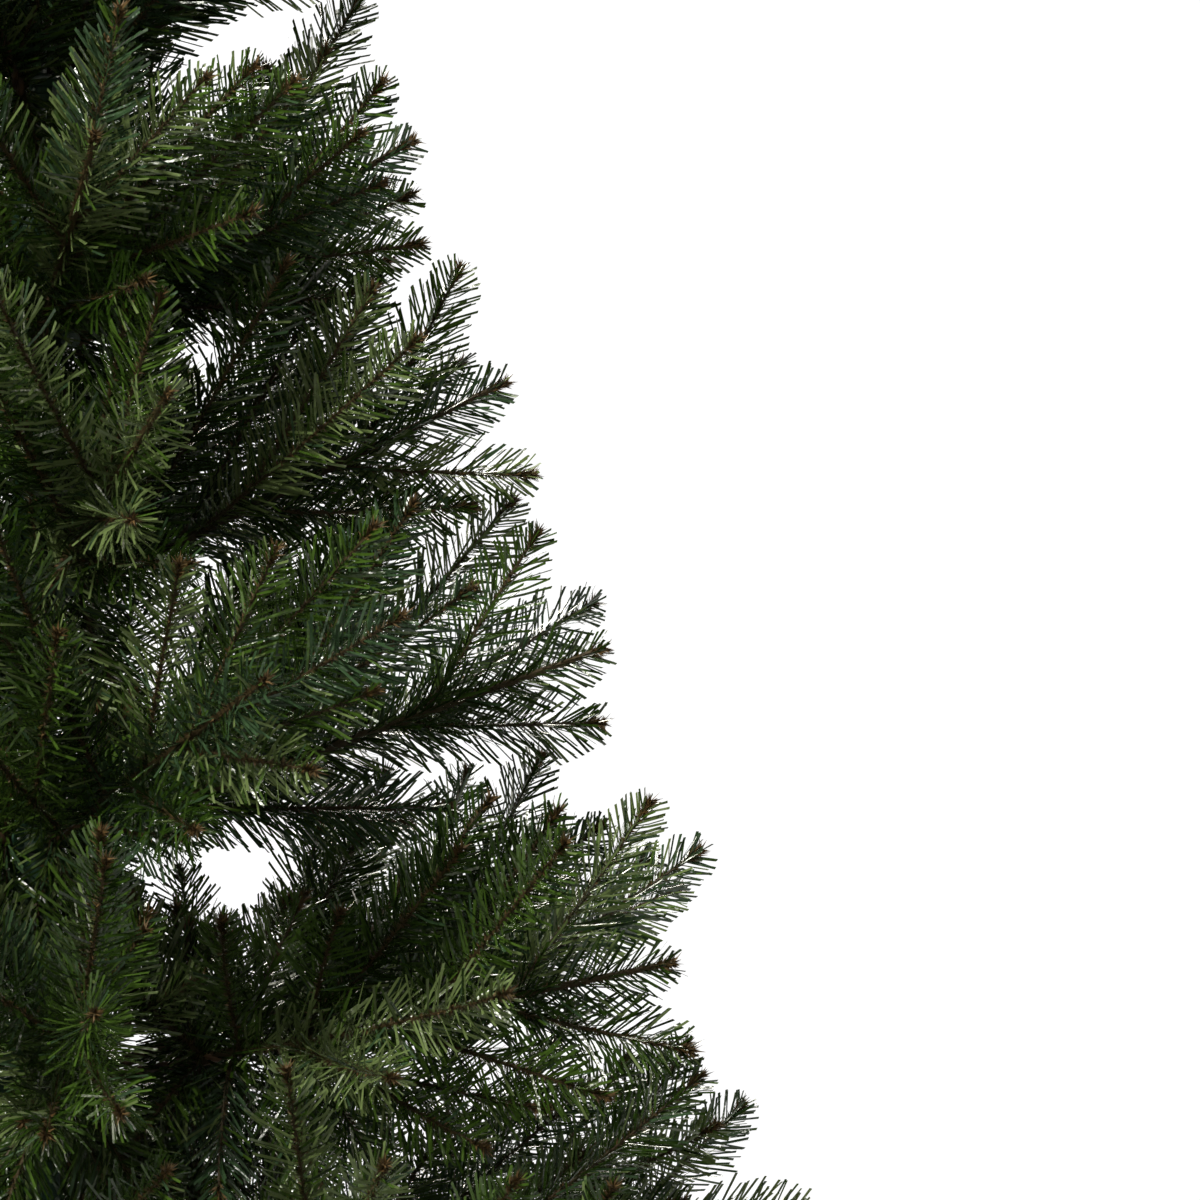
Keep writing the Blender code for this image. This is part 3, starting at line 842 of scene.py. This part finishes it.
def build_needles(twigs, nodes):
    """All needles, joined by tint into pieces of a limited size."""
    rng = np.random.default_rng(NEEDLE_SEED)
    columns = [np.concatenate(column) for column in zip(*(needle_strips(twig, rng) for twig in twigs))]
    start, middle, end, side, tint, bent = columns
    for number, shade in enumerate(TINTS):
        mine = np.flatnonzero(tint == number)
        triangles = 2 * len(mine) + 2 * int(bent[mine].sum())
        material = needle_material(shade)
        parts = math.ceil(triangles / FACES_A_PIECE)
        for part, chosen in enumerate(np.array_split(mine, parts)):
            name = f"needles_{shade.name}_{part + 1}"
            strips = (column[chosen] for column in (start, middle, end, side, bent))
            add_piece(name, strip_mesh(name, *strips), material, nodes)


def add_bristles(shape, path, per_metre, lean, length, rng):
    """Bristles all round a path, each a narrow face with three corners."""
    _, point, tangent, out = spots_on(path, per_metre, rng)
    count = len(point)
    lean = (lean + rng.normal(0, BRISTLE_LEAN_PLAY, count))[:, None]
    aim = tangent * np.cos(lean) + out * np.sin(lean)
    roll = rng.uniform(-BRISTLE_TWIST, BRISTLE_TWIST, count)[:, None]
    flat = np.cross(tangent, out)
    side = unit(flat * np.cos(roll) + np.cross(aim, flat) * np.sin(roll)) * BRISTLE_WIDTH / 2
    tip = point + aim * length * rng.uniform(*BRISTLE_LENGTH_PLAY, count)[:, None]
    points = np.stack([point - side, point + side, tip], axis=1).reshape(-1, 3)
    shape.add(points, np.arange(count * 3).reshape(-1, 3))


def build_bristles(twigs, materials, nodes):
    """The short brown bristles along every twig, in two browns, and the tuft at its tip, which takes more of
    the lighter brown as partly painted light.
    """
    rng = np.random.default_rng(BRISTLE_SEED)
    group = math.ceil(len(twigs) / BRISTLE_PIECES)
    for part in range(BRISTLE_PIECES):
        shapes = [Shape() for _ in BROWNS]
        for twig in twigs[part * group:(part + 1) * group]:
            end = twig.path[-1]
            back = unit(end - twig.path[-2]) * TUFT_RUN
            tuft = np.array([end - back, end])
            for shape, brown in zip(shapes, BROWNS):
                per_metre = BRISTLES_PER_METRE * brown.share
                add_bristles(shape, twig.path, per_metre, BRISTLE_LEAN, BRISTLE_LENGTH, rng)
                # The tufts lean to the rust brown: painted light on the lit tips, mixed with the bristles'
                # own brown
                add_bristles(shape, tuft, TUFT_PER_METRE * brown.tuft_share, TUFT_LEAN, TUFT_LENGTH, rng)
        for shape, brown, material in zip(shapes, BROWNS, materials):
            name = f"twig_bristles_{brown.name}_{part + 1}"
            add_piece(name, shape.mesh(name, smooth=False), material, nodes)


def build_twigs(twigs, material, nodes):
    """The wire core of every twig."""
    shape = Shape()
    for twig in twigs:
        tube(shape, twig.path, twig.radii, sides=5, closed=False)
    add_piece("twig_wires", shape.mesh("twig_wires"), material, nodes)


# Boughs, pole and stand


def build_boughs(material, nodes):
    """The boughs' bare runs as two wires twisted round each other, from their hinges outwards."""
    shape = Shape()
    strand = BOUGH_RADIUS / 2
    for index, tier in enumerate(TIERS):
        first = collar_radius(index) + GAP
        last = BARE_REACH + BARE_OVERLAP if index < BARE_TIERS else collar_radius(index) + COVERED_RUN
        for number in range(tier.boughs):
            outward = outward_at(azimuth(index, number))
            path = bough_line(index, outward, first, last, WIRE_STEP)
            across, over = frames_along(path)
            turn = np.linspace(0, len(path) * WIRE_TURN, len(path))[:, None]
            for half_turn in (0, math.pi):
                off = across * np.cos(turn + half_turn) + over * np.sin(turn + half_turn)
                tube(shape, path + off * strand * WIRE_NEST, np.full(len(path), strand), sides=8)
    add_piece("bough_wires", shape.mesh("bough_wires"), material, nodes)


def pole_profile():
    """The pole's outline from its foot up: three tubes, each pushed into a flared end of the one below."""
    lowest = SECTIONS[0][0]
    highest = SECTIONS[-1][0]
    profile = [(0.0, POLE_BOTTOM), (lowest - EDGE, POLE_BOTTOM), (lowest, POLE_BOTTOM + EDGE)]
    for (radius, top), (above, _) in zip(SECTIONS, SECTIONS[1:]):
        profile += [
            (radius, top - FLARE_RUN),
            (radius + FLARE, top - FLARE_FULL),
            (radius + FLARE, top - EDGE),
            (radius, top),
            (above, top),
        ]
    return profile + [(highest, POLE_TOP - EDGE), (highest - EDGE, POLE_TOP), (0.0, POLE_TOP)]


def collar_profile(index):
    """A pressed hinge collar with rolled edges and a groove where the hinge pins lie."""
    wall = pole_radius(tier_height(index)) - 0.0005
    rim = collar_radius(index)
    heights = (
        (wall, -COLLAR_HEIGHT / 2),
        (wall + 0.002, -COLLAR_HEIGHT / 2),
        (rim - EDGE, -COLLAR_RIM / 2 - 0.0008),
        (rim, -COLLAR_RIM / 2),
        (rim, -0.003),
        (rim - 0.002, -0.002),
        (rim - 0.002, 0.002),
        (rim, 0.003),
        (rim, COLLAR_RIM / 2),
        (rim - EDGE, COLLAR_RIM / 2 + 0.0008),
        (wall + 0.002, COLLAR_HEIGHT / 2),
        (wall, COLLAR_HEIGHT / 2),
    )
    return [(radius, tier_height(index) + height) for radius, height in heights]


def ear_outline(length, height, steps=6):
    """A hinge ear: square where it leaves the collar, rounded at its end."""
    turns = [-math.pi / 2 + math.pi * k / steps for k in range(steps + 1)]
    nose = [(length - height / 2 + height / 2 * math.cos(a), height / 2 * math.sin(a)) for a in turns]
    return [(0.0, -height / 2), *nose, (0.0, height / 2)]


def build_pole(steel, zinc):
    """The pole with its collars, and the ears and pins that hold each bough."""
    shape = Shape()
    turned(shape, pole_profile(), sides=40)
    pins = Shape()
    upended = Matrix.Rotation(math.pi / 2, 4, "X")
    for index, tier in enumerate(TIERS):
        turned(shape, collar_profile(index), sides=40)
        first = collar_radius(index) - EAR_SINK
        for number in range(tier.boughs):
            angle = azimuth(index, number)
            to_bough = Matrix.Translation(UP * tier_height(index)) @ Matrix.Rotation(angle, 4, "Z")
            for side in (-1, 1):
                offset = Matrix.Translation((first, side * (BOUGH_RADIUS + EAR_ROOM), 0))
                plate(shape, ear_outline(EAR_LENGTH, EAR_HEIGHT), EAR_THICKNESS, to_bough @ offset @ upended)
            middle = outward_at(angle) * (first + PIN_PLACE) + UP * tier_height(index)
            half = outward_at(angle + math.pi / 2) * (BOUGH_RADIUS + PIN_ROOM)
            path = [middle + half * share for share in (-1, -PIN_SHANK, PIN_SHANK, 1)]
            tube(pins, path, PIN_RADII, sides=10)
    add_piece("pole_and_collars", shape.mesh("pole_and_collars"), steel, ("pole",))
    add_piece("hinge_pins", pins.mesh("hinge_pins"), zinc)


def hub_profile():
    """The socket's outline: up its side with the leg collar, over its rolled rim, and down its bore."""
    collar_top = LEG_HEIGHT + LEG_COLLAR_HEIGHT / 2
    collar_bottom = LEG_HEIGHT - LEG_COLLAR_HEIGHT / 2
    rim = HUB_RADIUS + HUB_RIM
    return [
        (0.0, HUB_BOTTOM),
        (HUB_RADIUS - 0.0015, HUB_BOTTOM),
        (HUB_RADIUS, HUB_BOTTOM + 0.0015),
        (HUB_RADIUS, collar_bottom - HUB_RIM),
        (LEG_COLLAR_RADIUS - EDGE, collar_bottom),
        (LEG_COLLAR_RADIUS, collar_bottom + EDGE),
        (LEG_COLLAR_RADIUS, collar_top - EDGE),
        (LEG_COLLAR_RADIUS - EDGE, collar_top),
        (HUB_RADIUS, collar_top + HUB_RIM),
        (HUB_RADIUS, HUB_TOP - 3 * HUB_RIM),
        (rim - 0.0007, HUB_TOP - 2.2 * HUB_RIM),
        (rim, HUB_TOP - 1.7 * HUB_RIM),
        (rim, HUB_TOP - 0.5 * HUB_RIM),
        (rim - 0.0012, HUB_TOP),
        (HUB_BORE + 0.0008, HUB_TOP),
        (HUB_BORE, HUB_TOP - EDGE),
        (HUB_BORE, HUB_BOTTOM + HUB_FLOOR),
        (0.0, HUB_BOTTOM + HUB_FLOOR),
    ]


def screw_profile(pitch=0.0012):
    """A clamping screw's threaded shank, from inside the socket's wall outwards."""
    profile = [(0.0, -HUB_RIM)]
    turns = int((SCREW_LENGTH - 2 * EDGE) / pitch)
    for k in range(turns):
        profile.append((SCREW_RADIUS - THREAD_DEPTH, -HUB_RIM + k * pitch))
        profile.append((SCREW_RADIUS, -HUB_RIM + (k + 0.5) * pitch))
    return profile + [(SCREW_RADIUS, SCREW_LENGTH), (0.0, SCREW_LENGTH)]


def wing_outline(steps=24):
    """A thumb screw's wing: two lobes with a waist between."""
    outline = []
    for k in range(steps):
        turn = math.tau * k / steps
        radius = WING_RADIUS * (WING_WAIST + (1 - WING_WAIST) * abs(math.sin(turn)))
        outline.append((radius * math.cos(turn), radius * math.sin(turn)))
    return outline


def build_hub(steel, zinc):
    """The socket, the welded nuts in its wall and the thumb screws through them."""
    shape = Shape()
    turned(shape, hub_profile(), sides=48)
    screws = Shape()
    laid = Matrix.Rotation(math.pi / 2, 4, "Y")
    upended = Matrix.Rotation(math.pi / 2, 4, "X")
    wing_reach = HUB_RADIUS + SCREW_LENGTH + WING_RADIUS / 2
    for k in range(SCREW_COUNT):
        turn = Matrix.Rotation(k * math.tau / SCREW_COUNT + SCREW_TURN, 4, "Z")
        outwards = turn @ Matrix.Translation((HUB_RADIUS, 0, SCREW_HEIGHT)) @ laid
        turned(shape, NUT_PROFILE, 6, outwards)
        turned(screws, screw_profile(), 20, outwards)
        to_wing = turn @ Matrix.Translation((wing_reach, 0, SCREW_HEIGHT)) @ upended
        plate(screws, wing_outline(), WING_THICKNESS, to_wing)
    add_piece("stand_socket", shape.mesh("stand_socket"), steel, ("stand_hub",))
    add_piece("thumb_screws", screws.mesh("thumb_screws"), zinc)


def leg_route(steps=36):
    """A leg's centreline as (distance from the axis, height): level at first, then over and down."""
    start = LEG_COLLAR_RADIUS + GAP
    bend = start + LEG_LEVEL_RUN
    route = [(start, LEG_HEIGHT), ((start + bend) / 2, LEG_HEIGHT)]
    for i in range(steps + 1):
        turn = i / steps * math.pi / 2
        reach = bend + (FOOT_REACH - bend) * math.sin(turn) ** 0.85
        route.append((reach, LEG_HEIGHT - (LEG_HEIGHT - ANKLE_HEIGHT) * (1 - math.cos(turn)) ** 0.9))
    return route


def foot_profile():
    """A ribbed cap with a flat sole."""
    profile = [(0.0, 0.0), (FOOT_RADIUS - 0.0012, 0.0), (FOOT_RADIUS, 0.0012)]
    groove = FOOT_RADIUS - RIB_DEPTH
    for k in range(FOOT_RIBS):
        low = FIRST_RIB + RIB_STEP * k
        profile += [(FOOT_RADIUS, low), (groove, low + RIB_EDGE)]
        profile += [(groove, low + 2 * RIB_EDGE), (FOOT_RADIUS, low + 3 * RIB_EDGE)]
    profile += [(FOOT_RADIUS, FOOT_HEIGHT - 0.0015), (FOOT_RADIUS - 0.0015, FOOT_HEIGHT)]
    return profile + [(0.0, FOOT_HEIGHT)]


def build_legs(steel, rubber):
    """The bowed legs and their caps."""
    for number in range(1, LEG_COUNT + 1):
        outward = outward_at(FIRST_LEG + (number - 1) * math.tau / LEG_COUNT)
        leg = Shape()
        path = np.array([outward * reach + UP * height for reach, height in leg_route()])
        tube(leg, path, np.full(len(path), LEG_RADIUS), sides=24)
        add_piece(f"leg_tube_{number}", leg.mesh("leg"), steel, (f"stand_leg_{number}",))
        cap = Shape()
        turned(cap, foot_profile(), 32, Matrix.Translation(outward * FOOT_REACH))
        add_piece(f"foot_cap_{number}", cap.mesh("foot"), rubber)


# Stage


def floor_material():
    """A pale floor that fades into the white behind it towards its rim."""
    made, shader = new_material("pale_floor", (0.43, 0.44, 0.46), 0.7)
    mottle(made, shader, 3.0, (0.42, 0.43, 0.45), (0.45, 0.46, 0.48))
    nodes = made.node_tree.nodes
    links = made.node_tree.links
    coordinates = nodes.new("ShaderNodeTexCoord")
    reach = nodes.new("ShaderNodeVectorMath")
    reach.operation = "LENGTH"
    links.new(coordinates.outputs["Object"], reach.inputs[0])
    fade = nodes.new("ShaderNodeMapRange")
    fade.interpolation_type = "SMOOTHSTEP"
    fade.inputs["From Min"].default_value = FLOOR_FADE
    fade.inputs["From Max"].default_value = FLOOR_RADIUS
    links.new(reach.outputs["Value"], fade.inputs["Value"])
    white = nodes.new("ShaderNodeEmission")
    white.inputs["Strength"].default_value = WHITE
    mix = nodes.new("ShaderNodeMixShader")
    links.new(fade.outputs["Result"], mix.inputs["Fac"])
    links.new(shader.outputs["BSDF"], mix.inputs[1])
    links.new(white.outputs["Emission"], mix.inputs[2])
    links.new(mix.outputs["Shader"], nodes["Material Output"].inputs["Surface"])
    return made


def build_floor():
    """A round floor just under the feet."""
    shape = Shape()
    profile = [(0.0, -FLOOR_THICKNESS), (FLOOR_RADIUS, -FLOOR_THICKNESS), (FLOOR_RADIUS, -GAP), (0.0, -GAP)]
    turned(shape, profile, sides=96)
    mesh = shape.mesh("floor")
    mesh.materials.append(floor_material())
    floor = bpy.data.objects.new("floor", mesh)
    bpy.context.scene.collection.objects.link(floor)


def build_world():
    """A white background that lights the tree softly and less than it shows."""
    world = bpy.data.worlds.new("studio")
    bpy.context.scene.world = world
    world.use_nodes = True
    nodes = world.node_tree.nodes
    links = world.node_tree.links
    seen = nodes["Background"]
    seen.inputs["Color"].default_value = (1.0, 1.0, 1.0, 1.0)
    seen.inputs["Strength"].default_value = WHITE
    lit = nodes.new("ShaderNodeBackground")
    lit.inputs["Color"].default_value = (*SOFT_COLOUR, 1.0)
    lit.inputs["Strength"].default_value = SOFT_STRENGTH
    path = nodes.new("ShaderNodeLightPath")
    mix = nodes.new("ShaderNodeMixShader")
    links.new(path.outputs["Is Camera Ray"], mix.inputs["Fac"])
    links.new(lit.outputs["Background"], mix.inputs[1])
    links.new(seen.outputs["Background"], mix.inputs[2])
    links.new(mix.outputs["Shader"], nodes["World Output"].inputs["Surface"])


def build_lights():
    """Soft boxes: a key above the camera's left, a weak fill under it, and others round the tree."""
    for lamp in LAMPS:
        data = bpy.data.lights.new(lamp.name, "AREA")
        data.size = lamp.size
        data.energy = lamp.power
        data.color = lamp.colour
        light = bpy.data.objects.new(lamp.name, data)
        light.visible_camera = False
        light.location = lamp.place
        light.rotation_euler = (Vector(LIT_POINT) - Vector(lamp.place)).to_track_quat("-Z", "Y").to_euler()
        bpy.context.scene.collection.objects.link(light)


def build_camera():
    """The photo's view: level with the crown's middle, framed on its right-hand side."""
    data = bpy.data.cameras.new("camera")
    data.sensor_width = SENSOR_WIDTH
    distance = (FRAME_MIDDLE - CAMERA_PLACE).length
    data.lens = SENSOR_WIDTH * distance / FRAME_WIDTH
    camera = bpy.data.objects.new("camera", data)
    turn = Matrix.Rotation(VIEW_TURN, 3, "Z")
    camera.location = turn @ CAMERA_PLACE
    camera.rotation_euler = (turn @ (FRAME_MIDDLE - CAMERA_PLACE)).to_track_quat("-Z", "Y").to_euler()
    bpy.context.scene.collection.objects.link(camera)
    bpy.context.scene.camera = camera
    bpy.context.scene.view_settings.view_transform = "Standard"


def main():
    build_camera()
    build_world()
    build_lights()
    build_floor()
    steel = steel_material()
    zinc = zinc_material()
    browns = [bristle_material(brown) for brown in BROWNS]
    names = sorted(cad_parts)
    foliage = [name for name in names if name.startswith("foliage")]
    boughs = [name for name in names if name.startswith("bough")]
    build_pole(steel, zinc)
    build_hub(steel, zinc)
    build_legs(steel, rubber_material())
    build_boughs(wire_material(), boughs)
    twigs = grow_crown()
    build_twigs(twigs, browns[0], foliage)
    build_bristles(twigs, browns, foliage)
    build_needles(twigs, foliage)


main()
